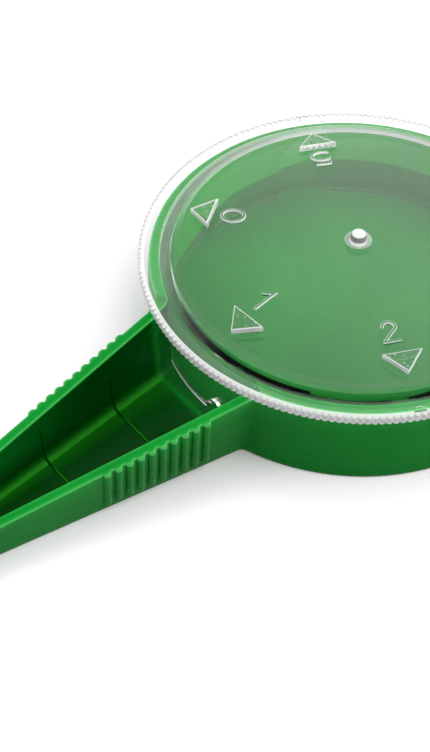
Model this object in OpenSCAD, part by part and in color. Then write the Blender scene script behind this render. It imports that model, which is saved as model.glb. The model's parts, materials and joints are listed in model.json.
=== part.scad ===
// Dial seed sower: a green moulded bowl with an open tapering chute, and a clear
// numbered dial that lies in the bowl and turns on its rim.
// Millimetres. The origin is the dial's axis on the base plane, +X runs along the
// chute to the spout and +Z points up.

/* [Bowl] */
// Outside radius of the bowl
bowl_r = 30.9; // [28:0.1:34]
// Thickness of the bowl's wall
bowl_wall = 1.7; // [1.2:0.1:2.2]
// Height of the bowl's rim above the base
bowl_h = 13.1; // [12:0.1:18]
// Thickness of the floor under the bowl and the chute
floor_t = 1; // [0.8:0.1:1.6]
// Bevel round the bowl's bottom edge
base_bevel = 0.4; // [0.2:0.1:0.7]

/* [Chute] */
// Distance from the dial's axis to the end of the spout
spout_x = 98; // [92:1:110]
// Distance from the dial's axis to the neck, where the taper eases
neck_x = 72; // [66:1:78]
// Outside width of the chute at the base where it leaves the bowl
root_w = 19.4; // [17:0.2:22]
// Outside width of the chute at the base at the neck
neck_w = 8.2; // [7:0.1:9]
// Outside width of the chute at the base at the spout's end
spout_w = 6.4; // [6:0.2:7]
// Height of the chute's walls where they leave the bowl
root_h = 11.9; // [10.5:0.1:11.9]
// Height of the chute's walls at the spout's end
spout_h = 3.5; // [3:0.1:5]
// Thickness of the chute's walls
chute_wall = 1.6; // [1.2:0.1:1.8]
// Outward lean of the chute's walls, in degrees
wall_lean = 7.2; // [3:0.2:8]
// Radius inside the chute between its floor and its walls
trough_r = 1.4; // [0.8:0.1:1.6]
// Radius of the blend outside between the chute and the bowl
blend_r = 1.2; // [0.8:0.1:3]

/* [Finger ribs] */
// Distance from the dial's axis to the first finger rib's lower end
rib_x = 35.7; // [35:0.1:38]
// Distance from one finger rib to the next
rib_pitch = 1.74; // [1.6:0.01:1.9]
// Number of finger ribs on the chute's left wall
ribs_left = 10; // [6:1:12]
// Number of finger ribs on the chute's right wall
ribs_right = 11; // [6:1:12]
// Radius of a finger rib
rib_r = 0.6; // [0.5:0.05:0.7]
// Height of the finger ribs' lower ends above the base
rib_foot = 2; // [1.2:0.1:2.5]
// Lean of the finger ribs towards the spout, in degrees
rib_lean = 4.2; // [0:0.2:7]

/* [Seed ridges] */
// Distance from the dial's axis to the first ridge across the chute
ridge_x = 39.6; // [38:0.1:44]
// Distance between the two ridges
ridge_gap = 13.6; // [10:0.1:16]
// Width of a ridge along the chute
ridge_w = 0.4; // [0.3:0.1:0.8]
// Height of a ridge above the floor and the walls
ridge_h = 0.2; // [0.15:0.05:0.5]
// Height up to which a ridge climbs the walls
ridge_top = 7; // [5:0.5:8]

/* [Dial] */
// Radius of the dial over its knurled edge
dial_r = 32.5; // [32:0.1:36]
// Thickness of the dial's flange
flange_t = 1.4; // [1:0.1:2]
// Gap between the bowl's rim and the flange
rim_gap = 0.05; // [0.02:0.01:0.1]
// Number of knurls round the edge
knurls = 204; // [120:6:240]
// Depth of the grooves between knurls
knurl_d = 0.35; // [0.2:0.05:0.5]
// Thickness of the dome
dome_t = 1.3; // [1:0.1:1.6]
// Height of the shoulder above the flange, where the dome starts
shoulder_h = 0.7; // [0.4:0.1:1.2]
// Rise of the dome from the shoulder to its middle
dome_rise = 2.3; // [1.5:0.1:4]
// Angle from the chute to number 1 as the dial rests
dial_turn = 5; // [0:1:25]

/* [Skirt] */
// Thickness of the skirt that hangs into the bowl
skirt_t = 1.3; // [1:0.1:1.8]
// Gap between the skirt and the bowl's wall
skirt_gap = 0.2; // [0.1:0.05:0.4]
// Gap between the skirt and the bowl's floor
skirt_lift = 0.2; // [0.1:0.05:0.5]
// Width of the seed notch at number 1
notch_w = 2.8; // [2:0.1:3.2]
// Height of the seed notch at number 1
notch_h = 2.5; // [2:0.1:3.2]
// Growth in width from one number's notch to the next
notch_w_step = 1.55; // [1:0.05:1.7]
// Growth in height from one number's notch to the next
notch_h_step = 1.8; // [1:0.05:1.8]
// Largest radius of a notch's upper corners
notch_r = 1.4; // [0.8:0.1:1.5]

/* [Marks] */
// Number of settings round the dial, with zero closed
settings = 6; // [6]
// Distance from the dial's axis to the base of an arrow
arrow_x = 22.3; // [21:0.1:22.8]
// Width of an arrow at its base
arrow_w = 5.9; // [4:0.1:6.5]
// Length of an arrow
arrow_l = 3.5; // [2.5:0.1:3.7]
// Height of an arrow above the dome
arrow_h = 0.9; // [0.5:0.1:1.2]
// Radius of the centre stub
stub_r = 1.05; // [0.8:0.05:1.4]
// Height of the centre stub above the dome
stub_h = 1.3; // [0.8:0.1:1.8]
// Radius of the fillet round the stub's foot
stub_fillet = 0.9; // [0.4:0.1:1]
// Radius of the half-round pad at the flange's edge
pad_r = 1; // [0.8:0.1:1.2]
// Height of the half-round pads
pad_h = 0.15; // [0.1:0.05:0.2]

/* [Hidden] */
round_fn = 180;
over = 1;
corner_steps = 6;
lean_k = tan(wall_lean);
// The chute's outer solid and its trough both start inside the bowl
inner_x = bowl_r - 8;
taper_k = (root_w - neck_w) / 2 / (neck_x - bowl_r);
drop_k = (root_h - spout_h) / (spout_x - bowl_r);
dial_z = bowl_h + rim_gap;
flange_z = dial_z + flange_t;
skirt_r = bowl_r - bowl_wall - skirt_gap;
skirt_in = skirt_r - skirt_t;
skirt_z = floor_t + skirt_lift;
apex_z = flange_z + shoulder_h + dome_rise;
dome_r = (skirt_in * skirt_in + dome_rise * dome_rise) / (2 * dome_rise);
step_angle = 360 / settings;

// Half of the chute's outside width at the base, at distance x from the axis
function half_w(x) = x <= neck_x
    ? root_w / 2 - taper_k * (x - bowl_r)
    : neck_w / 2 - (neck_w - spout_w) / 2 * (x - neck_x) / (spout_x - neck_x);
// Height of the chute's walls at distance x from the axis
function wall_h(x) = root_h - drop_k * (x - bowl_r);
// Height of the dome's outer surface at distance r from the axis
function dome_z(r) = apex_z - dome_r + sqrt(dome_r * dome_r - r * r);

// Outline across the chute, seen from the spout: a flat bottom at height z0, walls that
// lean outward up to height z1 and round lower corners of radius r. half is half the
// width that the walls' planes have at height 0.
function outline(half, z0, z1, r) =
    let (corner = half + lean_k * (z0 + r) - r / cos(wall_lean),
         right = [for (i = [0 : corner_steps])
             let (a = -90 + (90 - wall_lean) * i / corner_steps)
             [corner + r * cos(a), z0 + r + r * sin(a)]],
         top = half + lean_k * z1)
    concat(right, [[top, z1], [-top, z1]],
           [for (i = [corner_steps : -1 : 0]) [-right[i][0], right[i][1]]]);

// Solid that joins rings of the same number of points, listed from the first end to
// the last, each ring counterclockwise as seen from the last end
module loft(rings) {
    n = len(rings[0]);
    last = len(rings) - 1;
    polyhedron(
        points = [for (ring = rings) each ring],
        faces = concat(
            [[for (i = [0 : n - 1]) i]],
            [[for (i = [n : -1 : 1]) last * n + i % n]],
            [for (s = [0 : last - 1]) for (i = [0 : n - 1])
                let (j = (i + 1) % n)
                [s * n + i, (s + 1) * n + i, (s + 1) * n + j, s * n + j]]));
}

// The chute as a solid bar, under the slope of its walls' tops
module chute_solid() {
    loft([for (x = [inner_x, neck_x, spout_x])
        [for (p = outline(half_w(x), 0, wall_h(x), base_bevel)) [x, p[0], p[1]]]]);
}

// The space between the walls at the stations, shrunk by inset and open at the top
module trough(stations, inset = 0) {
    loft([for (x = stations)
        [for (p = outline(half_w(x) - chute_wall - inset, floor_t + inset,
                          bowl_h + over, trough_r)) [x, p[0], p[1]]]]);
}

// Ring of the blend at height z: an arc between the bowl and the chute's left wall,
// just short of touching them, closed inside both
function blend_ring(z) =
    let (normal = [taper_k, 1] / norm([taper_k, 1]),
         along = [normal[1], -normal[0]],
         reach = (root_w / 2 + taper_k * bowl_r + lean_k * z) * normal[1] + blend_r,
         centre = reach * normal + sqrt(pow(bowl_r + blend_r, 2) - reach * reach) * along,
         from = atan2(-centre[1], -centre[0]),
         to = atan2(-normal[1], -normal[0]),
         on_bowl = centre * bowl_r / (bowl_r + blend_r),
         on_wall = centre - blend_r * normal,
         in_wall = on_wall - chute_wall / 2 * normal)
    [for (p = concat(
        [in_wall - (on_wall - on_bowl) * along * along, in_wall],
        [for (i = [1 : corner_steps - 1])
            let (a = to + (from - to) * i / corner_steps)
            centre + blend_r * [cos(a), sin(a)]],
        [on_bowl * (1 - bowl_wall / 2 / bowl_r)])) [p[0], p[1], z]];

// Blends the chute's outer faces into the bowl's wall, as high as the chute
module blends() {
    for (side = [0, 1]) mirror([0, side, 0])
        loft([blend_ring(0), blend_ring(wall_h(bowl_r + blend_r))]);
}

// Half-round rib that leans with the wall and towards the spout and ends at the wall's top
module finger_rib(x) {
    y = half_w(x) + lean_k * rib_foot;
    translate([x, y, rib_foot]) rotate([-wall_lean, rib_lean, 0]) {
        cylinder(h = wall_h(x), r = rib_r, $fn = 32);
        sphere(rib_r, $fn = 32);
    }
}

// The half space under the slope of the chute's wall tops
module under_slope() {
    translate([bowl_r, -bowl_r, root_h]) rotate([0, atan(drop_k), 0])
        translate([-2 * bowl_r, 0, -3 * bowl_r]) cube([2 * spout_x, 2 * bowl_r, 3 * bowl_r]);
}

module finger_ribs() {
    intersection() {
        union() {
            for (i = [0 : ribs_left - 1]) finger_rib(rib_x + i * rib_pitch);
            mirror([0, 1, 0])
                for (i = [0 : ribs_right - 1]) finger_rib(rib_x + i * rib_pitch);
        }
        under_slope();
    }
}

// Low ridge over the floor and up both walls, which slows rolling seeds
module seed_ridge(x) {
    intersection() {
        difference() {
            trough([x, x + ridge_w], -ridge_h);
            trough([x - over, x + ridge_w + over], ridge_h);
        }
        translate([x, -root_w, 0]) cube([ridge_w, 2 * root_w, ridge_top]);
    }
}

module bowl_solid() {
    rotate_extrude($fn = round_fn) polygon([
        [0, 0], [bowl_r - base_bevel, 0], [bowl_r, base_bevel], [bowl_r, bowl_h], [0, bowl_h]]);
}

module body() {
    color("green") union() {
        difference() {
            union() {
                bowl_solid();
                chute_solid();
                blends();
                finger_ribs();
            }
            translate([0, 0, floor_t])
                cylinder(h = bowl_h, r = bowl_r - bowl_wall, $fn = round_fn);
            trough([inner_x, neck_x, spout_x + over]);
        }
        for (i = [0, 1]) seed_ridge(ridge_x + i * ridge_gap);
    }
}

// Disc with round knurls on its edge
module knurled_disc(h) {
    pitch = 360 / knurls;
    linear_extrude(h) polygon([for (i = [0 : 2 * knurls - 1])
        let (r = i % 2 == 0 ? dial_r : dial_r - knurl_d, a = i * pitch / 2)
        [r * cos(a), r * sin(a)]]);
}

// Clear dome, its shoulder and the skirt that hangs from it
module dome_and_skirt() {
    difference() {
        union() {
            intersection() {
                translate([0, 0, apex_z - dome_r]) sphere(dome_r, $fn = 360);
                translate([0, 0, dial_z]) cylinder(h = bowl_h, r = skirt_in, $fn = round_fn);
            }
            translate([0, 0, flange_z - over])
                cylinder(h = over + shoulder_h, r = skirt_in, $fn = round_fn);
            translate([0, 0, flange_z])
                cylinder(h = shoulder_h, r1 = skirt_r, r2 = skirt_in, $fn = round_fn);
            translate([0, 0, skirt_z])
                cylinder(h = flange_z - skirt_z, r = skirt_r, $fn = round_fn);
        }
        intersection() {
            translate([0, 0, apex_z - dome_r]) sphere(dome_r - dome_t, $fn = 360);
            cylinder(h = apex_z, r = skirt_in, $fn = round_fn);
        }
    }
}

// Opening in the skirt through which seeds of one size pass
module notch(w, h) {
    r = min(notch_r, w / 2);
    rotate([90, 0, 90]) linear_extrude(dial_r) union() {
        translate([-w / 2, skirt_z - over]) square([w, over + h - r]);
        for (side = [-1, 1]) translate([side * (w / 2 - r), skirt_z + h - r])
            circle(r, $fn = 48);
        if (w > 2 * r) translate([r - w / 2, skirt_z]) square([w - 2 * r, h]);
    }
}

// Raised arrow that points outward from the axis and lies along the dome
module arrow() {
    mid_x = arrow_x + arrow_l / 2;
    translate([mid_x, 0, dome_z(mid_x)]) rotate([0, asin(mid_x / dome_r), 0])
        translate([-arrow_l / 2, 0, -dome_t / 2]) linear_extrude(dome_t / 2 + arrow_h)
            polygon([[0, -arrow_w / 2], [arrow_l, 0], [0, arrow_w / 2]]);
}

module stub() {
    foot_z = dome_z(stub_r + stub_fillet);
    rotate_extrude($fn = 64) difference() {
        union() {
            translate([0, foot_z - dome_t / 2]) square([stub_r, dome_t / 2 + stub_h]);
            translate([0, foot_z - dome_t / 2])
                square([stub_r + stub_fillet, dome_t / 2 + stub_fillet]);
        }
        translate([stub_r + stub_fillet, foot_z + stub_fillet]) circle(stub_fillet, $fn = 48);
    }
}

// Small half-round pads on the flange beside numbers 2 and 5
module pads() {
    intersection() {
        for (i = [2, 5]) rotate([0, 0, (i - 1) * step_angle])
            translate([dial_r - knurl_d, 0, flange_z - over])
                cylinder(h = over + pad_h, r = pad_r, $fn = 48);
        cylinder(h = 2 * bowl_h, r = dial_r - knurl_d, $fn = round_fn);
    }
}

module dial() {
    color("white", 0.4) rotate([0, 0, dial_turn]) difference() {
        union() {
            difference() {
                translate([0, 0, dial_z]) knurled_disc(flange_t);
                cylinder(h = 2 * bowl_h, r = skirt_r - skirt_t / 2, $fn = round_fn);
            }
            dome_and_skirt();
            for (i = [0 : settings - 1]) rotate([0, 0, (i - 1) * step_angle]) arrow();
            stub();
            pads();
        }
        for (i = [1 : settings - 1]) rotate([0, 0, (i - 1) * step_angle])
            notch(notch_w + (i - 1) * notch_w_step, notch_h + (i - 1) * notch_h_step);
    }
}

body();
dial();
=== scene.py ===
import json
import math
from types import SimpleNamespace

import bmesh
import bpy
import numpy as np
from mathutils import Matrix, Vector

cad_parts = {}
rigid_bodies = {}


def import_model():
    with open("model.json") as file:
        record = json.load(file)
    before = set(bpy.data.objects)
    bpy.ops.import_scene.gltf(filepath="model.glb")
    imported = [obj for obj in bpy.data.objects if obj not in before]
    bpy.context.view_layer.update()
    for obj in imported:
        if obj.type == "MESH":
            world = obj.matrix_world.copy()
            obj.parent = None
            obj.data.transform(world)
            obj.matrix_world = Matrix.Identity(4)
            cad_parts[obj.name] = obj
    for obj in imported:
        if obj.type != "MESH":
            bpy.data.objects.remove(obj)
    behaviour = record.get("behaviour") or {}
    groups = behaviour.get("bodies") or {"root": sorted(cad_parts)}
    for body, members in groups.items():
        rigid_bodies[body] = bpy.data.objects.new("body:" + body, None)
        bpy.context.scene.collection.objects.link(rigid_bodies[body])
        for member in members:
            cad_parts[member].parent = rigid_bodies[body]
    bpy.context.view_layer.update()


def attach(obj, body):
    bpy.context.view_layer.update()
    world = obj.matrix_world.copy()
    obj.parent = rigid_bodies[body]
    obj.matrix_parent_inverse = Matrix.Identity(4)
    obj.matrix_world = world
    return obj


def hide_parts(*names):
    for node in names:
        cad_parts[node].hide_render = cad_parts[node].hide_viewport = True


# Dial seed sower: a green moulded bowl with an open tapering chute, and a clear numbered dial
# that lies in the bowl and turns on its rim. Its two mouldings are made here in full, with the
# same sizes as the solids that they replace.
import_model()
MM = 0.001
BODY_SHARP = math.radians(38)  # edges over this angle stay sharp
DIAL_SHARP = math.radians(28)

# ---------------------------------------------------------------- sizes, in millimetres
# Bowl
BOWL_R = 30.9  # outside
BOWL_WALL = 1.7
BOWL_IN = BOWL_R - BOWL_WALL
BOWL_H = 13.1
FLOOR_T = 1.0  # floor of the bowl and the chute
BEVEL = 0.4  # round the bottom edge

# Chute. Its widths are measured outside, at the base.
SPOUT_X = 98.0  # from the dial's axis to the end of the spout
NECK_X = 72.0  # from the dial's axis to the neck, where the taper eases
ROOT_W = 19.4  # where the chute leaves the bowl
NECK_W = 8.2
SPOUT_W = 6.4
ROOT_H = 11.9  # height of the walls where they leave the bowl
SPOUT_H = 3.5
WALL = 1.6
LEAN = math.tan(math.radians(7.2))  # of the walls, outwards
TAPER = (ROOT_W - NECK_W) / 2 / (NECK_X - BOWL_R)
TROUGH_R = 1.4  # inside, between floor and walls
BOWL_FILLET = 0.45  # the same in the bowl
BLEND_R = 1.2  # outside, between chute and bowl
RIM_OUT = 0.28  # rounding of the rim's outer edge
RIM_IN = 0.22  # rounding of the rim's inner edge

# Finger ribs
RIB_X = 35.7  # lower end of the first rib
RIB_PITCH = 1.74
RIB_R = 0.6
RIB_RIM = 0.3  # added to the rim's rounding on a rib
RIB_FOOT = 2.0  # height of the ribs' lower ends
RIB_MID = 9.0  # a height at which the ribs have their full depth
RIB_LEAN = math.tan(math.radians(4.2))  # towards the spout
RIBS_LEFT = 10
RIBS_RIGHT = 11
RIBS_FROM = 32.6  # where the lean of the ribs sets in
RIBS_TO = 62.0  # where it has faded out again

# Ridges across the chute
RIDGES = (39.6, 53.2)
RIDGE_W = 0.4
RIDGE_H = 0.2
RIDGE_TOP = 7.0  # height up to which they climb the walls

# Dial
DIAL_R = 32.5
DIAL_Z = BOWL_H + 0.05  # the flange's underside, just above the bowl's rim
FLANGE_Z = DIAL_Z + 1.4
KNURLS = 204
KNURL_D = 0.35
KNURL_STEPS = 6  # points round each knurl
SKIRT_R = BOWL_IN - 0.2
SKIRT_IN = SKIRT_R - 1.3
SKIRT_Z = FLOOR_T + 0.2
DOME_T = 1.3
RISE = 2.3  # of the dome, from the shoulder to its middle
APEX_Z = FLANGE_Z + 0.7 + RISE
DOME_R = (SKIRT_IN**2 + RISE**2) / (2 * RISE)
DOME_CENTRE = (0, 0, APEX_Z - DOME_R)
DIAL_TURN = 5.0  # degrees from the chute to number 1
SETTINGS = 6
SETTING_STEP = 60  # degrees from one setting to the next

# Marks on the dial
ARROW_X = 24.05  # from the dial's axis to the middle of an arrow
ARROW = [(-1.75, -2.95), (1.75, 0), (-1.75, 2.95)]
ARROW_H = 0.9
ARROW_ROOT = 0.6  # depth to which an arrow reaches into the dome
FIGURE_X = 18.9
FIGURE_H = 0.32
STROKE = 0.48  # width of the figures' strokes
MARK_BEVEL = 0.1
STROKE_TOP = STROKE - 2 * MARK_BEVEL
MARK_ROOT = 0.5  # depth to which the figures and pads reach into the dial
PAD_X = 31.9
PAD_R = 0.9
PAD_H = 0.15
PADS = (2, 5)

# Notches in the skirt
NOTCH_W = 2.8  # of setting 1
NOTCH_H = 2.5
NOTCH_W_STEP = 1.55
NOTCH_H_STEP = 1.8
NOTCH_R = 1.4


def smooth(t):
    t = min(1.0, max(0.0, t))
    return t * t * (3 - 2 * t)


def unit(angle):
    return np.array([math.cos(angle), math.sin(angle)])


def quarter(steps):
    """Angles from 0 to a right angle."""
    return [math.radians(90 * k / steps) for k in range(steps + 1)]


def half_w(x):
    """Half of the chute's outside width at the base."""
    if x <= NECK_X:
        return ROOT_W / 2 - TAPER * (x - BOWL_R)
    return NECK_W / 2 - (NECK_W - SPOUT_W) / 2 * (x - NECK_X) / (SPOUT_X - NECK_X)


def wall_h(x):
    """Height of the chute's walls."""
    return ROOT_H - (ROOT_H - SPOUT_H) / (SPOUT_X - BOWL_R) * (x - BOWL_R)


def dome_z(r, depth=0.0):
    """Height of the dome at radius r, or of the sphere that lies depth below its surface."""
    return APEX_Z - DOME_R + math.sqrt((DOME_R - depth) ** 2 - r * r)


def new_object(name, verts, faces, smooth_shaded=True):
    mesh = bpy.data.meshes.new(name)
    mesh.from_pydata([tuple(c * MM for c in v) for v in verts], [], faces)
    mesh.validate()
    if smooth_shaded:
        mesh.polygons.foreach_set("use_smooth", [True] * len(mesh.polygons))
    piece = bpy.data.objects.new(name, mesh)
    bpy.context.scene.collection.objects.link(piece)
    return piece


# ---------------------------------------------------------------- body: one swept wall
# The section of the wall is swept from the spout along the chute, round the blend and round the
# bowl. A place p on it is x on the chute, a share from 0 to 1 of the blend, and an angle in
# degrees on the bowl. Everything is worked out for the side y > 0 and mirrored.
NORMAL = np.array([TAPER, 1.0]) / math.hypot(TAPER, 1)  # of the chute's left wall, from above
ALONG = np.array([NORMAL[1], -NORMAL[0]])
SIDEWAYS = np.array([0.0, 1.0])
CORNER_AT = 0.70  # share of the blend at which its inner side has the corner
MID_Z = 6.0  # height at which the directions of a section are taken
BOWL_FROM = 24.3  # angle at which the bowl's wall takes over from the blend
FOOT_LEVELS = (0.95, 1.38, 1.45, 1.56, 1.69, 1.84, RIB_FOOT)

# Tones of the plastic that the body's point attributes carry: painted shade, painted highlights
# and painted light, besides the bowl's tone and the rims' gloss
BOWL_SHADE = 0.34
MOUTH_SHADE = 0.5
SHADE_TOWARD = (0.8, 0.6)
WALL_FADE = 0.32  # by which the painted shade on the chute's walls fades towards the spout
# Lighter green on the ribs and rims: a painted highlight, which on the rims goes with more gloss
RIB_PAINTED_HIGHLIGHT = 0.2
RIM_GLOSS_AND_PAINTED_HIGHLIGHT_OUT = (0.3, 1, 1, 1, 0.3)
RIM_GLOSS_AND_PAINTED_HIGHLIGHT_IN = (0.3, 1, 1, 0)
# painted highlight along the chute's inner corners, round the fillet
FILLET_PAINTED_HIGHLIGHT = (0, 0.04, 0.10, 0.2, 0.4, 0.75, 1.0, 0.3)
# painted highlight on the tops of the ridges across the chute
RIDGE_PAINTED_HIGHLIGHT = 0.75
LOWER_WALL = 0.25  # share of the painted light on the bowl's inner wall below the line given next
# The line on that wall above which it carries painted light: azimuth in degrees and height in mm
PAINTED_LIGHT_LINE = (
    (150, 1.9), (165, 3.5), (185, 6.4), (204, 6.75), (220, 6.92), (231, 7.13), (245, 6.95),
    (252, 6.21), (261, 5.52), (271, 5.14), (277, 4.06), (284, 2.6), (292, 1.9),
)


def painted_light_line(azimuth):
    """Height on the bowl's inner wall above which it carries painted light."""
    return float(np.interp(azimuth % 360, *zip(*PAINTED_LIGHT_LINE)))


def bowl_shade(x, y):
    """Share of the painted shade in the bowl: it grows along SHADE_TOWARD, and again in front of
    the chute."""
    toward = SHADE_TOWARD[0] * x + SHADE_TOWARD[1] * y
    side = BOWL_SHADE * min(1.0, max(0.0, (toward + 4) / 22))
    return side + MOUTH_SHADE * smooth((x - 20) / 8)


def blend_arc(z):
    """Centre, first and last angle of the outer blend between chute and bowl at height z."""
    reach = (ROOT_W / 2 + TAPER * BOWL_R + LEAN * z) * NORMAL[1] + BLEND_R
    c = reach * NORMAL + math.sqrt((BOWL_R + BLEND_R) ** 2 - reach * reach) * ALONG
    return c, math.atan2(-NORMAL[1], -NORMAL[0]), math.atan2(-c[1], -c[0])


def blend_foot(z):
    """Distance from the dial's axis at which the outer blend begins at height z."""
    return (blend_arc(z)[0] - BLEND_R * NORMAL)[0]


def inner_corner(z):
    """Where the chute's inner wall meets the bowl's inner wall at height z."""
    x = 27.5  # a first guess, which the loop corrects
    for _ in range(20):
        y = half_w(x) - WALL + LEAN * z
        x = math.sqrt(BOWL_IN**2 - y * y)
    return x, y


def bowl_angle(p, centre):
    """Angle of the place p on the bowl, where the blend around centre ends."""
    first = math.atan2(centre[1], centre[0])
    return first + (p - BOWL_FROM) / (180 - BOWL_FROM) * (math.pi - first)


def leaned(p, z):
    """Distance from the axis of the outer wall's place p at height z, as it follows the ribs."""
    fade = smooth((p - RIBS_FROM) / 1.8) * smooth((RIBS_TO - p) / 6)
    return p + RIB_LEAN * (z - RIB_FOOT) * fade


def rib_depth(p, z, ribs):
    """How far a rib stands out at the place p: each is a rod with a round lower end."""
    i = round((p - RIB_X) / RIB_PITCH)
    if i < 0 or i >= ribs:
        return 0.0
    d = RIB_R**2 - (p - RIB_X - i * RIB_PITCH) ** 2 - min(0.0, z - RIB_FOOT) ** 2
    return math.sqrt(d) if d > 0 else 0.0


def ridge_lift(x, z):
    """How far a ridge stands out of the floor or, at height z, of the wall."""
    for start in RIDGES:
        t = (x - start) / RIDGE_W
        if 0 < t < 1:
            fade = min(1.0, max(0.0, (RIDGE_TOP - z) / 0.5))
            return RIDGE_H * math.sin(math.pi * t) ** 0.7 * fade
    return 0.0


def stations():
    """Places along the wall with their kinds, from the spout round to the back of the bowl."""
    xs = [SPOUT_X, SPOUT_X - 0.2, SPOUT_X - 0.6, *np.linspace(SPOUT_X - 1.5, 56.5, 17)]
    xs += [NECK_X + d for d in (-1.5, -0.6, 0, 0.6, 1.5)]
    for i in range(RIBS_RIGHT):
        middle = RIB_X + i * RIB_PITCH
        xs += [middle - RIB_R * math.cos(math.pi * k / 12) for k in range(13)]
        xs.append(middle + RIB_PITCH / 2)
    for start in RIDGES:
        xs += [start + RIDGE_W * t for t in (0, 0.12, 0.3, 0.5, 0.7, 0.88, 1)]
    xs += [34.8, 34.4, 33.8, 33.2, 32.6, 31.8, 31.1, 30.6]  # between the ribs and the blend
    blend = (0, 0.07, 0.15, 0.24, 0.34, 0.44, 0.54, 0.64, CORNER_AT, 0.78, 0.86, 0.93, 1)
    out = [("chute", x) for x in sorted({round(float(x), 4) for x in xs}, reverse=True)]
    out += [("blend", share) for share in blend]
    out += [("bowl", angle) for angle in np.linspace(26.5, 180, 78)]
    return out


def outer_point(kind, p, z, ribs):
    """Point (x, y) of the outer wall at height z."""
    if kind == "chute":
        x = leaned(p, z)
        return np.array([x, half_w(x) + LEAN * z + rib_depth(p, z, ribs)])
    centre, first, last = blend_arc(z)
    if kind == "blend":
        return centre + BLEND_R * unit(first + (last - first) * p)
    return BOWL_R * unit(bowl_angle(p, centre))


def inner_point(kind, p, z):
    """Point (x, y) of the inner wall at height z."""
    if kind == "chute":
        return np.array([p, half_w(p) - WALL + LEAN * z - ridge_lift(p, z)])
    centre = blend_arc(z)[0]
    if kind == "bowl":
        return BOWL_IN * unit(bowl_angle(p, centre))
    corner = inner_corner(z)
    if p <= CORNER_AT:
        start = blend_foot(z)
        x = start + (corner[0] - start) * p / CORNER_AT
        return np.array([x, half_w(x) - WALL + LEAN * z])
    first, last = math.atan2(corner[1], corner[0]), math.atan2(centre[1], centre[0])
    return BOWL_IN * unit(first + (last - first) * (p - CORNER_AT) / (1 - CORNER_AT))


def section(kind, p, ribs):
    """What a section has at all heights: the heights of its rim, the directions from its walls
    into the rim, its roundings, the lift of its floor, its painted shade and whether it is in the bowl."""
    if kind == "chute":
        top = wall_h(p)
        rib = rib_depth(p, RIB_MID, ribs) / RIB_R
        return SimpleNamespace(
            top_out=wall_h(leaned(p, top)), top_in=top, out_dir=SIDEWAYS, in_dir=SIDEWAYS,
            round_out=RIM_OUT + RIB_RIM * rib, fillet=TROUGH_R, lift=ridge_lift(p, FLOOR_T),
            painted_shade=smooth((p - 29.5) / 2), bowl=0.0,
        )
    share = p if kind == "blend" else 1.0
    chute_top = wall_h(blend_foot(11))
    top = chute_top + (BOWL_H - chute_top) * smooth((share - 0.35) / 0.5)
    out_dir, in_dir = outer_point(kind, p, MID_Z, ribs), inner_point(kind, p, MID_Z)
    if kind == "blend":
        out_dir = blend_arc(MID_Z)[0] - out_dir
        if p < CORNER_AT:
            in_dir = SIDEWAYS
    return SimpleNamespace(
        top_out=top, top_in=top,
        out_dir=out_dir / np.linalg.norm(out_dir), in_dir=in_dir / np.linalg.norm(in_dir),
        round_out=RIM_OUT, fillet=TROUGH_R + (BOWL_FILLET - TROUGH_R) * smooth((share - 0.4) / 0.5),
        lift=0.0, painted_shade=0.0, bowl=1.0,
    )


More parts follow.
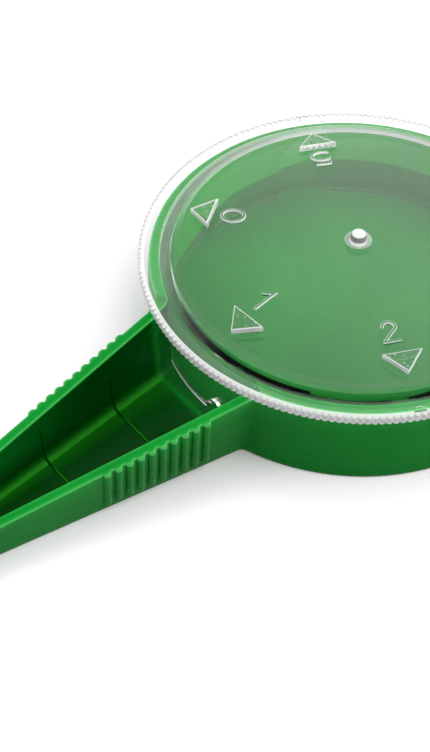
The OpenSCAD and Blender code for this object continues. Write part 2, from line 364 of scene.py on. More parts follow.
def half_ring(kind, p, side):
    """Points of one half of the section at a station, from the base round over the wall to the floor:
    x, y, z and five tones, which are the painted shade, a painted highlight, the rims' gloss with their
    painted highlight, the bowl's tone and the painted light on the bowl's wall. Side is 1 on the left
    and -1 on the right."""
    ribs = RIBS_LEFT if side > 0 else RIBS_RIGHT
    s = section(kind, p, ribs)
    pts = []

    def outer(z):
        return outer_point(kind, p, z, ribs)

    def inner(z):
        return inner_point(kind, p, z)

    # lighter green on a rib: a painted highlight
    def rib_painted_highlight(z):
        return RIB_PAINTED_HIGHLIGHT * rib_depth(p, z, ribs) / RIB_R if kind == "chute" else 0.0

    # tones: painted shade, painted highlight, rims' gloss and painted highlight, bowl, painted light
    def add(xy, z, painted_shade=0.0, painted_highlight=0.0, edge=0.0, bowl=0.0, wall=0.0):
        if bowl:
            painted_shade = bowl_shade(xy[0], side * xy[1])
        pts.append((float(xy[0]), float(xy[1]), float(z), painted_shade, painted_highlight, edge, bowl, wall))

    # the bevel under the outer wall
    for a in quarter(3):
        add(outer(0) - s.out_dir * BEVEL * (1 - math.sin(a)), BEVEL * (1 - math.cos(a)))

    # the outer wall, with more levels round the feet of the ribs
    high = s.top_out - s.round_out
    squeeze = min(1.0, (high - BEVEL) / 3)
    for level in FOOT_LEVELS:
        z = BEVEL + (level - BEVEL) * squeeze
        add(outer(z), z, edge=rib_painted_highlight(level))
    foot = z
    for share in (0.35, 0.7):
        z = foot + share * (high - foot)
        add(outer(z), z, edge=rib_painted_highlight(RIB_MID))

    # the rim: its outer rounding, its flat top and its inner rounding; the roundings are glossier
    # and carry a painted highlight
    for a, gloss in zip(quarter(4), RIM_GLOSS_AND_PAINTED_HIGHLIGHT_OUT):
        inward = s.out_dir * (s.round_out * (1 - math.cos(a)))
        add(outer(high) - inward, high + s.round_out * math.sin(a), edge=gloss)
    low = s.top_in - RIM_IN
    edge_out = outer(high) - s.out_dir * s.round_out
    edge_in = inner(low) + s.in_dir * RIM_IN
    for share in (0.33, 0.67):
        add(edge_out + (edge_in - edge_out) * share, s.top_out + (s.top_in - s.top_out) * share)
    for a, gloss in zip(quarter(3), RIM_GLOSS_AND_PAINTED_HIGHLIGHT_IN):
        add(inner(low) + s.in_dir * (RIM_IN * (1 - math.sin(a))), low + RIM_IN * math.cos(a),
            edge=gloss)

    # the inner wall, with levels at the tops of the ridges or at the line of the painted light
    foot = FLOOR_T + s.fillet
    levels = [low - 0.25, foot + 0.8 * (low - foot), foot + 0.6 * (low - foot)]
    if kind == "bowl":
        x, y = inner(MID_Z)
        line = painted_light_line(side * math.degrees(math.atan2(y, x)))
        levels += [line + 0.15, line - 0.15, (line - 0.15 + foot) / 2]
    else:
        line = math.inf
        highest = foot + 0.55 * (low - foot)
        levels += [max(min(RIDGE_TOP + d, highest), foot + 0.05) for d in (0.1, -0.2, -0.6)]
    # painted light on the bowl's wall, and painted shade in the chute that fades towards the spout
    below = LOWER_WALL if kind == "bowl" else 0.0
    painted_shade = s.painted_shade * (1 - WALL_FADE * smooth((p - 42) / 20))
    for z in levels:
        add(inner(z), z, painted_shade, bowl=s.bowl, wall=1.0 if z > line else below)

    # the fillet and the floor, half way to the middle, with the painted shade, and a painted highlight
    # in the chute's fillet and on its ridges
    start = inner(foot)
    for a, painted_highlight in zip(quarter(7), FILLET_PAINTED_HIGHLIGHT):
        add(start - s.in_dir * (s.fillet * (1 - math.cos(a))),
            foot - s.fillet * math.sin(a) + s.lift * math.sin(a) ** 2,
            s.painted_shade, 0.0 if s.lift else s.painted_shade * painted_highlight, bowl=s.bowl)
    x, y = start - s.in_dir * s.fillet
    painted_highlight = RIDGE_PAINTED_HIGHLIGHT * s.painted_shade if s.lift > 0.6 * RIDGE_H else 0.0
    add((x, y * 0.5), FLOOR_T + s.lift, s.painted_shade, painted_highlight, bowl=s.bowl)
    return pts


def make_body():
    rings = []
    for kind, p in stations():
        left, right = half_ring(kind, p, 1), half_ring(kind, p, -1)
        rings.append(left + [(q[0], -q[1], *q[2:]) for q in reversed(right)])
    n = len(rings[0])
    verts = [v for ring in rings for v in ring]
    faces = [
        (i * n + j, (i + 1) * n + j, (i + 1) * n + (j + 1) % n, i * n + (j + 1) % n)
        for i in range(len(rings) - 1)
        for j in range(n)
    ]
    faces.append(tuple(range(n)))  # the spout's end
    piece = new_object("body_moulding", [v[:3] for v in verts], faces)
    # the attributes carry painted shade, a painted highlight, the rims' gloss and painted highlight, the
    # bowl's tone and the painted light on the bowl's wall
    for k, layer in enumerate(("painted_shade", "painted_highlight", "edge", "bowl", "wall"), start=3):
        values = piece.data.attributes.new(layer, "FLOAT", "POINT").data
        values.foreach_set("value", [v[k] for v in verts])
    edit = bmesh.new()
    edit.from_mesh(piece.data)
    bmesh.ops.remove_doubles(edit, verts=edit.verts, dist=1e-6)
    bmesh.ops.dissolve_degenerate(edit, edges=edit.edges, dist=1e-7)
    bmesh.ops.recalc_face_normals(edit, faces=edit.faces)
    edit.to_mesh(piece.data)
    edit.free()
    piece.data.set_sharp_from_angle(angle=BODY_SHARP)
    return piece


# ---------------------------------------------------------------- dial: one clear moulding
def dial_profile():
    """Points (radius, height, share of the knurls) from the dome outwards over the shoulder and
    the flange, down the skirt, up inside it and inwards under the dome."""
    dome = [1.5, 4, 7, 10, 13, 16, 19, 21.5, 23.5, 25.3, 26.6, 27.4]  # radii of its rings
    # out from the skirt's inner face and up from the flange
    shoulder = [(0.02, 0.685), (0.3, 0.55), (1.0, 0.18), (1.35, 0.02), (1.7, 0)]
    # back from the dial's edge, into the flange, and the share of the knurls
    knurled = [(0.9, 0, 0), (0.38, 0, 0.8), (0.2, 0.05, 1), (0.06, 0.16, 1), (0, 0.34, 1)]
    hollow_r = 27.1  # radius at which the dome's underside begins
    hollow_z = dome_z(hollow_r, DOME_T)
    profile = [(r, dome_z(r), 0) for r in dome]
    profile += [(SKIRT_IN + out, FLANGE_Z + up, 0) for out, up in shoulder]
    profile += [(DIAL_R - back, FLANGE_Z - down, share) for back, down, share in knurled]
    profile += [(DIAL_R - back, DIAL_Z + up, share) for back, up, share in reversed(knurled)]
    profile += [(SKIRT_R + 0.3, DIAL_Z, 0), (SKIRT_R + 0.07, DIAL_Z - 0.07, 0)]
    profile += [(SKIRT_R, z, 0) for z in (DIAL_Z - 0.3, 9, 5, SKIRT_Z + 0.2)]
    profile += [(SKIRT_R - 0.06, SKIRT_Z + 0.06, 0), (SKIRT_R - 0.2, SKIRT_Z, 0)]
    profile += [(SKIRT_IN + 0.2, SKIRT_Z, 0), (SKIRT_IN + 0.06, SKIRT_Z + 0.06, 0)]
    profile += [(SKIRT_IN, z, 0) for z in (SKIRT_Z + 0.2, 5, 9, 13.4)]
    profile += [(SKIRT_IN - 0.06, 13.68, 0), (SKIRT_IN - 0.25, hollow_z - 0.06, 0)]
    profile += [(hollow_r, hollow_z + 0.005, 0)]
    profile += [(r, dome_z(r, DOME_T), 0) for r in (26, 24, 21, 18, 15, 12, 9, 6, 3)]
    return profile


def make_lathe():
    """The dial before its notches are cut: dome, shoulder, knurled flange and skirt."""
    profile = dial_profile()
    count = KNURLS * KNURL_STEPS
    verts = [(0, 0, APEX_Z)]
    for k in range(count):
        a = 2 * math.pi * k / count
        t = 2 * ((k % KNURL_STEPS) / KNURL_STEPS) - 1
        dip = KNURL_D * (1 - math.sqrt(max(0.0, 1 - t * t)))
        for r, z, share in profile:
            q = r - dip * share
            verts.append((q * math.cos(a), q * math.sin(a), z))
    verts.append((0, 0, APEX_Z - DOME_T))
    n, last = len(profile), len(verts) - 1
    faces = []
    for k in range(count):
        a, b = 1 + k * n, 1 + (k + 1) % count * n
        faces.append((0, a, b))
        faces += [(a + i, a + i + 1, b + i + 1, b + i) for i in range(n - 1)]
        faces.append((a + n - 1, last, b + n - 1))
    return new_object("dial_moulding", verts, faces)


def skin(rings, n):
    """Faces round a stack of rings with n points each."""
    return [
        (s + i, s + (i + 1) % n, s + n + (i + 1) % n, s + n + i)
        for s in range(0, n * (rings - 1), n)
        for i in range(n)
    ]


def caps(rings, n):
    """The two ends of such a stack."""
    last = n * (rings - 1)
    return [tuple(range(n - 1, -1, -1)), tuple(range(last, last + n))]


def prism(outline, low, high, matrix, top=None):
    """Closed prism over a counterclockwise outline, in its own frame, set by matrix. Its upper
    edge is bevelled where the smaller outline of its top is given."""
    n = len(outline)
    rings = [(outline, low), (outline, high)]
    if top:
        rings = [(outline, low), (outline, high - MARK_BEVEL), (top, high)]
    verts = [tuple(matrix @ Vector((x, y, z))) for ring, z in rings for x, y in ring]
    return verts, caps(len(rings), n) + skin(len(rings), n)


def stroke(points, width):
    """Outline of a pen stroke with square ends along an open line of points."""
    pts = [np.array(p, float) for p in points]
    left, right = [], []
    for i, p in enumerate(pts):
        before = pts[i] - pts[i - 1] if i else pts[1] - pts[0]
        after = pts[i + 1] - pts[i] if i + 1 < len(pts) else before
        before, after = before / np.linalg.norm(before), after / np.linalg.norm(after)
        along = before + after
        along /= np.linalg.norm(along)
        across = np.array([-along[1], along[0]])
        k = width / 2 / max(0.4, float(np.dot(across, [-after[1], after[0]])))
        left.append(p + across * k)
        right.append(p - across * k)
    return [tuple(p) for p in right + left[::-1]]


def arc(cx, cy, rx, ry, a0, a1, n):
    angles = [math.radians(a0 + (a1 - a0) * i / n) for i in range(n + 1)]
    return [(cx + rx * math.cos(a), cy + ry * math.sin(a)) for a in angles]


# Plain figures about 4 high, drawn as strokes. Their up is towards the dial's axis.
FIGURES = {
    0: [arc(-0.25, -0.37, 1.30, 1.72, 0, 360, 40)],
    1: [[(-2.05, 1.20), (-0.70, 2.25), (-0.74, -1.6)]],
    2: [
        [(-1.55, 1.45), *arc(-0.52, 1.50, 0.95, 0.92, 165, -25, 12), (-0.25, 0.50), (-1.75, -0.98)],
        [(-1.95, -1.10), (0.65, -1.04)],
    ],
    3: [arc(-0.55, 1.15, 0.95, 0.87, 150, -90, 16), arc(-0.55, -0.62, 1.15, 0.95, 95, -150, 16)],
    4: [[(0.35, -1.7), (0.35, 2.1), (-1.75, -0.5)], [(-1.8, -0.6), (1.0, -0.6)]],
    5: [
        [(1.35, 0.80), (-0.90, 0.85)],
        [(-0.80, 0.95), (-0.98, -0.40), *arc(-0.02, -1.22, 1.57, 1.06, 125, -140, 16)],
    ],
}


def turned(setting):
    """Rotation about the dial's axis to a setting."""
    return Matrix.Rotation(math.radians((setting - 1) * SETTING_STEP), 4, "Z")


def on_dome(setting, r, turn=0.0):
    """Matrix whose origin lies on the dome and whose Z is its normal. Its X points outward."""
    return (
        turned(setting)
        @ Matrix.Translation((r, 0, dome_z(r)))
        @ Matrix.Rotation(math.asin(r / DOME_R), 4, "Y")
        @ Matrix.Rotation(math.radians(turn), 4, "Z")
    )


def arrow(setting):
    middle = -0.38  # to which the top is drawn in
    top = [(middle + (x - middle) * 0.9, y * 0.9) for x, y in ARROW]
    return prism(ARROW, -ARROW_ROOT, ARROW_H, on_dome(setting, ARROW_X), top)


def closed_stroke(points, matrix):
    """A stroke along a closed line, such as the figure 0, with bevelled edges."""
    n = len(points) - 1
    levels = [(STROKE, -MARK_ROOT), (STROKE, FIGURE_H - MARK_BEVEL), (STROKE_TOP, FIGURE_H)]
    verts = []
    for width, z in levels:
        line = stroke(points, width)
        # the line's first and last points are the same, so one of them is left out
        for ring in (line[:n], line[:n:-1][:n]):
            verts += [tuple(matrix @ Vector((x, y, z))) for x, y in ring]
    faces = []
    for k in range(n):
        j = (k + 1) % n
        for s in (0, 2 * n):
            faces += [(s + k, s + j, s + 2 * n + j, s + 2 * n + k),
                      (s + n + j, s + n + k, s + 3 * n + k, s + 3 * n + j)]
        faces += [(4 * n + k, 4 * n + j, 5 * n + j, 5 * n + k), (j, k, n + k, n + j)]
    return verts, faces


def figure(setting):
    """The solids of a number's strokes."""
    matrix = on_dome(setting, FIGURE_X, 90)
    if setting == 0:
        return [closed_stroke(points, matrix) for points in FIGURES[setting]]
    return [
        prism(stroke(points, STROKE), -MARK_ROOT, FIGURE_H, matrix, stroke(points, STROKE_TOP))
        for points in FIGURES[setting]
    ]


def stub():
    """The centre stub with its flared foot."""
    outline = [(2.1, -0.6), (2.1, -0.02), (1.86, 0.05), (1.5, 0.2), (1.22, 0.46), (1.08, 0.85),
               (1.05, 1.18), (1.0, 1.26), (0.9, 1.3)]
    foot, n = dome_z(1.95), 48
    verts = []
    for r, up in outline:
        for k in range(n):
            a = 2 * math.pi * k / n
            verts.append((r * math.cos(a), r * math.sin(a), foot + up))
    return verts, skin(len(outline), n) + caps(len(outline), n)


def pad(setting):
    """A half-round pad on the flange, at its edge."""
    matrix = turned(setting) @ Matrix.Translation((PAD_X, 0, FLANGE_Z))
    angles = np.linspace(math.pi / 2, 3 * math.pi / 2, 15)
    outline = [(math.cos(a) * PAD_R, math.sin(a) * PAD_R) for a in angles]
    return prism(outline, -MARK_ROOT, PAD_H, matrix)


def notch(setting):
    """What is cut from the skirt: it is wider and taller from one setting to the next."""
    w = NOTCH_W + (setting - 1) * NOTCH_W_STEP
    top = SKIRT_Z + NOTCH_H + (setting - 1) * NOTCH_H_STEP
    side, corner = w / 2 - NOTCH_R, top - NOTCH_R
    outline = [(-w / 2, SKIRT_Z - 1), (w / 2, SKIRT_Z - 1)]
    outline += arc(side, corner, NOTCH_R, NOTCH_R, 0, 90, 8)
    outline += arc(-side, corner, NOTCH_R, NOTCH_R, 90, 180, 8)
    upright = Matrix.Rotation(math.radians(90), 4, "Z") @ Matrix.Rotation(math.radians(90), 4, "X")
    return prism(outline, 20, DIAL_R - 0.5, turned(setting) @ upright)


def marks():
    """All that stands on the dial."""
    solids = []
    for setting in range(SETTINGS):
        solids += [arrow(setting), *figure(setting)]
    return [*solids, stub(), *(pad(setting) for setting in PADS)]


def bool_with(piece, solids, operation, name):
    """Join the solids to the object or cut them from it."""
    group = bpy.data.collections.new(name)
    for k, (verts, faces) in enumerate(solids):
        solid = new_object(f"{name}_{k}", verts, faces, smooth_shaded=False)
        bpy.context.scene.collection.objects.unlink(solid)
        group.objects.link(solid)
        edit = bmesh.new()
        edit.from_mesh(solid.data)
        bmesh.ops.recalc_face_normals(edit, faces=edit.faces)
        edit.to_mesh(solid.data)
        edit.free()
    bpy.context.scene.collection.children.link(group)
    joining = piece.modifiers.new(name, "BOOLEAN")
    joining.operand_type = "COLLECTION"
    joining.collection = group
    joining.operation = operation
    joining.solver = "MANIFOLD"
    depsgraph = bpy.context.evaluated_depsgraph_get()
    old, piece.data = piece.data, bpy.data.meshes.new_from_object(piece.evaluated_get(depsgraph))
    piece.modifiers.clear()
    bpy.data.meshes.remove(old)
    for solid in list(group.objects):
        bpy.data.objects.remove(solid)
    bpy.data.collections.remove(group)


def exact_normals(p, n, now):
    """Normals of the smooth surfaces that the corners at p, in mm, belong to, else as now. The
    normals of their faces are n."""
    r = np.maximum(np.hypot(p[:, 0], p[:, 1]), 1e-6)
    out = np.column_stack([p[:, 0] / r, p[:, 1] / r, np.zeros(len(p))])
    from_centre = p - DOME_CENTRE
    reach = np.linalg.norm(from_centre, axis=1)
    up = from_centre / reach[:, None]
    flat = np.column_stack([0 * r, 0 * r, np.sign(n[:, 2])])
    z = p[:, 2]
    facing_up, facing_out = (n * up).sum(1), (n * out).sum(1)
    level = np.minimum(np.abs(z - FLANGE_Z), np.abs(z - DIAL_Z)) < 0.01
    made = now.copy()
    near, square = 0.02, 0.98  # mm to a surface, and the cosine of the angle to it
    for mask, values in (
        ((r < 27.45) & (np.abs(reach - DOME_R) < near) & (facing_up > square), up),
        ((r < 27.15) & (np.abs(reach - DOME_R + DOME_T) < near) & (facing_up < -square), -up),
        ((np.abs(r - SKIRT_R) < near) & (z > 1.3) & (z < 12.95) & (facing_out > square), out),
        ((np.abs(r - SKIRT_IN) < near) & (z > 1.3) & (z < 13.45) & (facing_out < -square), -out),
        ((r > 29.35) & (r < 31.3) & (np.abs(n[:, 2]) > 0.99) & level, flat),
    ):
        made[mask] = values[mask]
    return made


def values_of(items, key, width, kind=float):
    """One property of all items as an array, with one row for each where width is over 1."""
    values = np.empty(len(items) * width, kind)
    items.foreach_get(key, values)
    return values.reshape(-1, width) if width > 1 else values


def make_dial():
    piece = make_lathe()
    bool_with(piece, [notch(setting) for setting in range(1, SETTINGS)], "DIFFERENCE", "notches")
    bool_with(piece, marks(), "UNION", "marks")
    mesh = piece.data
    mesh.transform(Matrix.Rotation(math.radians(DIAL_TURN), 4, "Z"))
    mesh.polygons.foreach_set("use_smooth", [True] * len(mesh.polygons))
    mesh.set_sharp_from_angle(angle=DIAL_SHARP)
    corners = values_of(mesh.loops, "vertex_index", 1, int)
    places = values_of(mesh.vertices, "co", 3)[corners] / MM
    sizes = values_of(mesh.polygons, "loop_total", 1, int)
    facing = np.repeat(values_of(mesh.polygons, "normal", 3), sizes, axis=0)
    now = values_of(mesh.corner_normals, "vector", 3)
    mesh.normals_split_custom_set(exact_normals(places, facing, now).tolist())
    return piece


# ---------------------------------------------------------------- materials
# Indices of refraction. The skirt and the shoulder bend light less than polystyrene does, because
# the real index starts long chains of reflections in such a thin rim, which are rendered black.
POLYPROPYLENE = 1.49
POLYSTYRENE = 1.57
SKIRT_IOR = 1.22
SHOULDER_IOR = 1.2

# Borders between the dial's finishes: radii and heights in mm, and cosines
KNURLS_R = DIAL_R - 0.8
DOME_EDGE_R = 26.6
SHOULDER_R = SKIRT_IN + 0.01
MARKS_R = (15.5, 26.3)
MARK_SIDES = 0.9  # faces of the marks that point less upwards than this are sides
ARROW_TOPS_R = (22, 26.1)
STUB_FOOT_R = 2.2
STUB_TOP = 1.1  # over the dome
SKIRT_TOP = 13.45
NOTCH_SECTOR = 0.86  # closer to the notch of number 1 than this, the skirt is like the window


def material(name):
    mat = bpy.data.materials.new(name)
    mat.use_nodes = True
    tree = mat.node_tree
    return mat, tree, tree.nodes["Principled BSDF"]


def node(tree, kind, **values):
    """New node with its inputs and settings."""
    made = tree.nodes.new(kind)
    for key, value in values.items():
        if key in made.inputs:
            made.inputs[key].default_value = value
        else:
            setattr(made, key, value)
    return made


def place(tree):
    return node(tree, "ShaderNodeTexCoord").outputs["Object"]


def noise(tree, at, scale, detail, roughness=0.5):
    made = node(tree, "ShaderNodeTexNoise", Scale=scale, Detail=detail, Roughness=roughness)
    tree.links.new(at, made.inputs["Vector"])
    return made.outputs["Fac"]


def ramp(tree, value, low, high, ends=(0.0, 1.0)):
    """Colours from low to high, over the values between the ends."""
    made = node(tree, "ShaderNodeValToRGB")
    for element, end, colour in zip(made.color_ramp.elements, ends, (low, high)):
        element.position = end
        element.color = (*colour, 1)
    tree.links.new(value, made.inputs["Fac"])
    return made.outputs["Color"]


def remap(tree, value, source, result, **settings):
    """The value, as its range source is stretched to the range result."""
    made = node(tree, "ShaderNodeMapRange", **settings)
    made.inputs["From Min"].default_value, made.inputs["From Max"].default_value = source
    made.inputs["To Min"].default_value, made.inputs["To Max"].default_value = result
    tree.links.new(value, made.inputs["Value"])
    return made.outputs["Result"]


def compute(tree, operation, *terms, **settings):
    """A sum or product of values and numbers."""
    made = node(tree, "ShaderNodeMath", operation=operation, **settings)
    for socket, term in zip(made.inputs, terms):
        if isinstance(term, float):
            socket.default_value = term
        else:
            tree.links.new(term, socket)
    return made.outputs["Value"]


def along(tree, at, direction):
    """How far a point lies in a direction."""
    made = node(tree, "ShaderNodeVectorMath", operation="DOT_PRODUCT")
    tree.links.new(at, made.inputs[0])
    made.inputs[1].default_value = direction
    return made.outputs["Value"]


def bump(tree, shader, height, strength, distance):
    made = node(tree, "ShaderNodeBump", Strength=strength, Distance=distance)
    tree.links.new(height, made.inputs["Height"])
    tree.links.new(made.outputs["Normal"], shader.inputs["Normal"])


def green_plastic():
    """Moulded green polypropylene: satin outside, with painted shade down in the chute and in the
    bowl, painted light on the bowl's inner wall, a painted highlight in the chute's far corner, and
    glossy rims that are also painted lighter as a highlight."""
    mat, tree, shader = material("green_polypropylene")
    at = place(tree)
    cloud = noise(tree, at, 55.0, 4.0, 0.6)
    fine = noise(tree, at, 900.0, 3.0)
    colour = ramp(tree, cloud, (0.002, 0.210, 0.018), (0.005, 0.250, 0.027), (0.3, 0.72))
    zone = {}
    # the bowl's tone, painted light on the bowl's wall, painted shade, a painted highlight in the chute,
    # and lighter rims and ribs as a painted highlight beside the rims' gloss
    for name, tone in (
        ("bowl", (0.012, 0.208, 0.029)), ("wall", (0.04, 0.55, 0.07)), ("painted_shade", (0.0, 0.040, 0.002)),
        ("painted_highlight", (0.010, 0.23, 0.004)), ("edge", (0.03, 0.42, 0.06)),
    ):
        zone[name] = node(tree, "ShaderNodeAttribute", attribute_name=name).outputs["Fac"]
        mix = node(tree, "ShaderNodeMix", data_type="RGBA")
        tree.links.new(zone[name], mix.inputs["Factor"])
        tree.links.new(colour, mix.inputs["A"])
        mix.inputs["B"].default_value = (*tone, 1)
        colour = mix.outputs["Result"]
    mottled = node(tree, "ShaderNodeVectorMath", operation="SCALE")
    tree.links.new(colour, mottled.inputs[0])
    tree.links.new(remap(tree, cloud, (0.3, 0.7), (0.90, 1.08)), mottled.inputs["Scale"])
    tree.links.new(mottled.outputs["Vector"], shader.inputs["Base Color"])
    gloss = remap(tree, zone["edge"], (0.4, 1.0), (0.06, 0.9))
    tree.links.new(gloss, shader.inputs["Specular IOR Level"])
    tree.links.new(compute(tree, "MULTIPLY_ADD", fine, 0.14, 0.20), shader.inputs["Roughness"])
    shader.inputs["IOR"].default_value = POLYPROPYLENE
    bump(tree, shader, compute(tree, "ADD", fine, noise(tree, at, 260.0, 2.0)), 0.10, 0.0002)
    return mat


def clear_plastic(name, ior=POLYSTYRENE):
    """Clear moulded polystyrene with a faint haze and mould waves."""
    mat, tree, shader = material(name)
    at = place(tree)
    cloud = noise(tree, at, 80.0, 5.0, 0.65)
    colour = ramp(tree, cloud, (0.90, 0.92, 0.91), (0.99, 0.99, 0.99))
    tree.links.new(colour, shader.inputs["Base Color"])
    tree.links.new(remap(tree, cloud, (0.35, 0.75), (0.02, 0.07)), shader.inputs["Roughness"])
    shader.inputs["IOR"].default_value = ior
    shader.inputs["Transmission Weight"].default_value = 1.0
    bump(tree, shader, noise(tree, at, 120.0, 1.0), 0.05, 0.0002)
    return mat


def frosted_plastic(name, through, rough):
    """The same plastic where the mould was rough: the stub and the sides of the marks."""
    mat, tree, shader = material(name)
    grain = noise(tree, place(tree), 2200.0, 2.0)
    colour = ramp(tree, grain, (0.86, 0.88, 0.87), (1, 1, 1))
    tree.links.new(colour, shader.inputs["Base Color"])
    shader.inputs["Roughness"].default_value = rough
    shader.inputs["IOR"].default_value = POLYSTYRENE
    shader.inputs["Transmission Weight"].default_value = through
    bump(tree, shader, grain, 0.25, 0.0001)
    return mat


def patched_plastic(name, toward, span, through, rough, ior=POLYSTYRENE):
    """Clear plastic with frosted specks or, where an azimuth is given, with a haze that changes
    towards that side; on the dome's edge and the shoulder that haze is also a painted reflection and
    a painted highlight. The pairs through and rough hold at the two ends of the pattern's span."""
    mat, tree, shader = material(name)
    at = place(tree)
    if toward is None:
        specks = node(tree, "ShaderNodeTexVoronoi", Scale=1700.0)
        tree.links.new(at, specks.inputs["Vector"])
        pattern = specks.outputs["Distance"]
    else:
        distance = along(tree, at, (*unit(math.radians(toward)), 0))
        pattern = compute(tree, "MULTIPLY_ADD", noise(tree, at, 300.0, 4.0), 0.012, distance)
    for socket, ends in (("Transmission Weight", through), ("Roughness", rough)):
        tree.links.new(remap(tree, pattern, span, ends), shader.inputs[socket])
    shader.inputs["Base Color"].default_value = (0.88, 0.865, 0.88, 1)
    shader.inputs["IOR"].default_value = ior
    return mat


def dial_finishes():
    """The dial's materials, by the names that finish_of gives."""
    return {
        "window": clear_plastic("clear_polystyrene"),
        # the knurls: frosted, and less clear on the side at azimuth 50° than opposite it
        "knurls": patched_plastic(
            "frosted_knurls", toward=50, span=(-0.012, 0.012), through=(0.7, 0.35), rough=(0.25, 0.30)),
        "marks": frosted_plastic("frosted_marks", through=0.25, rough=0.35),
        # the dome's edge: hazy, and whiter away from azimuth 50°, which is a painted reflection
        "dome edge": patched_plastic(
            "dome_edge_haze_and_painted_reflection", toward=50, span=(-0.024, 0.006), through=(0.5, 0.98), rough=(0.4, 0.06)),
        "arrow tops": patched_plastic(
            "speckled_polystyrene", toward=None, span=(0.10, 0.24), through=(0.5, 0.98), rough=(0.4, 0.06)),
        "skirt": clear_plastic("thin_skirt", ior=SKIRT_IOR),
        "stub": frosted_plastic("frosted_stub", through=0.75, rough=0.25),
        # the shoulder: hazy, and whiter away from azimuth 95°, which is a painted highlight
        "shoulder": patched_plastic(
            "shoulder_haze_and_painted_highlight", toward=95, span=(-0.022, 0.008), through=(0.75, 1.0), rough=(0.3, 0.05),
            ior=SHOULDER_IOR),
    }


def finish_of(face):
    """Which finish a face of the dial has, by its place on the moulding."""
    c = face.center / MM
    r = math.hypot(c.x, c.y)
    over_dome = c.z - dome_z(min(r, SKIRT_IN))
    facing = (c - Vector(DOME_CENTRE)).normalized().dot(face.normal)
    toward_notch = math.cos(math.atan2(c.y, c.x) - math.radians(DIAL_TURN))
    if r > KNURLS_R and DIAL_Z - 0.01 < c.z < FLANGE_Z + 0.01:
        return "knurls"
    if DOME_EDGE_R < r < SKIRT_R + 0.3 and c.z > FLANGE_Z - 0.01:
        if r > SHOULDER_R:
            return "shoulder"
        if over_dome > -0.01:
            return "dome edge"
    if r < STUB_FOOT_R and c.z > APEX_Z - 0.1:
        return "marks" if over_dome > STUB_TOP else "stub"
    if MARKS_R[0] < r < MARKS_R[1] and over_dome > 0.04 and abs(facing) < MARK_SIDES:
        return "marks"
    if ARROW_TOPS_R[0] < r < ARROW_TOPS_R[1] and over_dome > 0.5:
        return "arrow tops"
    in_skirt = SKIRT_IN - 0.4 < r < SKIRT_R + 0.1
    if in_skirt and (c.z > SKIRT_TOP or toward_notch < NOTCH_SECTOR):
        return "skirt"
    return "window"


# ---------------------------------------------------------------- pieces
body = make_body()
dial = make_dial()

body.data.materials.append(green_plastic())

finishes = dial_finishes()
dial.data.materials.clear()
for finish in finishes.values():
    dial.data.materials.append(finish)
order = list(finishes)
for face in dial.data.polygons:
    face.material_index = order.index(finish_of(face))
dial.visible_shadow = False

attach(body, "body")
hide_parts("body")
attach(dial, "dial")
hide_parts("dial")

# ---------------------------------------------------------------- table and studio
TABLE_R = 320  # mm
TABLE_LIT = 0.35  # its grey for the light that it gives back to the object
TABLE_SEEN = (1.07, 1.02, 1.065, 1)  # its white in the picture, in gloss and through the dial
STUDIO_BRIGHT = (-0.925, -0.166, 0.342)  # direction of the studio's bright side
STUDIO_LEVELS = (0.42, 1.3)  # away from it and towards it
LAMPS_AT = Vector((0.02, 0, 0))  # where the lamps point, in metres
LAMP_DISTANCE = 0.7


def seen_by(tree, *rays):
    """1 for the rays of the given kinds and 0 for all others."""
    path = node(tree, "ShaderNodeLightPath")
    total = path.outputs[rays[0]]
    for ray in rays[1:]:
        total = compute(tree, "ADD", total, path.outputs[ray], use_clamp=True)
    return total


def make_table():
    count = 120
    rim = [(*(TABLE_R * unit(2 * math.pi * k / count)), 0) for k in range(count)]
    table = new_object("table", rim, [tuple(range(count))], smooth_shaded=False)
    mat, tree, shader = material("white_table")
    tint = node(tree, "ShaderNodeMix", data_type="RGBA")
    seen = seen_by(tree, "Is Camera Ray", "Is Glossy Ray", "Is Transmission Ray")
    tree.links.new(seen, tint.inputs["Factor"])
    tint.inputs["A"].default_value = (TABLE_LIT, TABLE_LIT, TABLE_LIT, 1)
    tint.inputs["B"].default_value = TABLE_SEEN
    matte = node(tree, "ShaderNodeBsdfDiffuse")
    tree.links.new(tint.outputs["Result"], matte.inputs["Color"])
    tree.links.new(matte.outputs["BSDF"], tree.nodes["Material Output"].inputs["Surface"])
    tree.nodes.remove(shader)
    table.data.materials.append(mat)
    return table


def make_studio():
    """A studio that is bright behind and to the right, and darker overhead and to the left. The
    camera, also through clear plastic, sees it as a plain white backdrop."""
    world = bpy.data.worlds.new("studio")
    bpy.context.scene.world = world
    world.use_nodes = True
    tree = world.node_tree
    background = tree.nodes["Background"]
    background.inputs["Color"].default_value = (1, 1, 1, 1)
    around = node(tree, "ShaderNodeTexCoord").outputs["Generated"]
    level = remap(tree, along(tree, around, STUDIO_BRIGHT), (0.50, 0.86), STUDIO_LEVELS,
                  interpolation_type="SMOOTHSTEP")
    strength = node(tree, "ShaderNodeMix", data_type="FLOAT", B=1.0)
    tree.links.new(seen_by(tree, "Is Camera Ray", "Is Transmission Ray"), strength.inputs["Factor"])
    tree.links.new(level, strength.inputs["A"])
    tree.links.new(strength.outputs["Result"], background.inputs["Strength"])


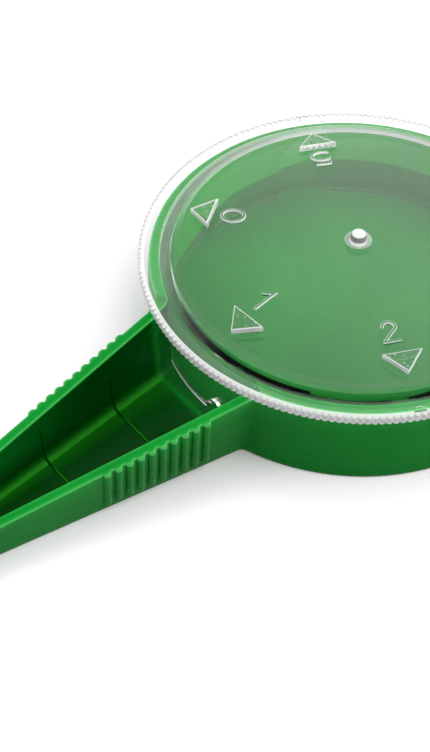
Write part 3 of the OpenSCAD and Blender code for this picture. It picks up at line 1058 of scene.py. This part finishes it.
def lamp(name, azimuth, elevation, size, watts, through):
    """A soft box, size metres wide, that faces the bowl and shows in no reflection. Its light also
    passes the clear dial where through is set."""
    data = bpy.data.lights.new(name, "AREA")
    data.shape, data.size, data.size_y = "RECTANGLE", size, size
    data.energy = watts
    box = bpy.data.objects.new(name, data)
    a, e = math.radians(azimuth), math.radians(elevation)
    away = Vector((math.cos(e) * math.cos(a), math.cos(e) * math.sin(a), math.sin(e)))
    box.location = LAMPS_AT + away * LAMP_DISTANCE
    box.rotation_euler = (-away).to_track_quat("-Z", "Y").to_euler()
    bpy.context.scene.collection.objects.link(box)
    box.visible_glossy, box.visible_transmission = False, through


make_table()
make_studio()
lamp("front", 110, 60, 0.50, 1.75, True)
lamp("right", 135, 38, 0.45, 0.95, True)
lamp("back", 235, 60, 0.40, 1.0, False)
lamp("left", 320, 45, 0.30, 0.6, True)
lamp("low", 345, 42, 0.30, 0.6, False)

# ---------------------------------------------------------------- camera, fitted to the photograph
PHOTO_W, PHOTO_H = 430, 752  # pixels
FOCAL = 2000.0  # focal length in pixels
SENSOR = 36  # mm along the photograph's longer side
AIM_Z = 14.485  # mm, height of the point on the dial's axis that the camera was fitted to
AIM_U, AIM_V = 356.85, 254.52  # where that point lies in the photograph, in pixels
DISTANCE = 296.85  # mm to it along the view
ELEVATION = math.radians(47.54)
ROLL = math.radians(1.836)
AZIMUTH = math.radians(140.314)


def make_camera():
    forward = np.array([0, math.cos(ELEVATION), -math.sin(ELEVATION)])
    level = np.array([1.0, 0, 0])
    upright = np.cross(level, forward)
    right = level * math.cos(ROLL) + upright * math.sin(ROLL)
    up = -level * math.sin(ROLL) + upright * math.cos(ROLL)
    across = (AIM_U - PHOTO_W / 2) / FOCAL * DISTANCE
    down = (AIM_V - PHOTO_H / 2) / FOCAL * DISTANCE
    where = up * down - right * across - forward * DISTANCE
    cos, sin = unit(AZIMUTH)
    turn = np.array([[cos, -sin, 0], [sin, cos, 0], [0, 0, 1]])
    where = turn @ where + np.array([0, 0, AIM_Z])
    columns = [turn @ right, turn @ up, turn @ -forward, where * MM]
    data = bpy.data.cameras.new("camera")
    data.lens, data.sensor_width = SENSOR * FOCAL / PHOTO_H, SENSOR
    data.clip_start, data.clip_end = 0.01, 10
    cam = bpy.data.objects.new("camera", data)
    cam.matrix_world = Matrix([*np.column_stack(columns).tolist(), [0, 0, 0, 1]])
    bpy.context.scene.collection.objects.link(cam)
    return cam


bpy.context.scene.camera = make_camera()
bpy.context.scene.view_settings.view_transform = "Standard"
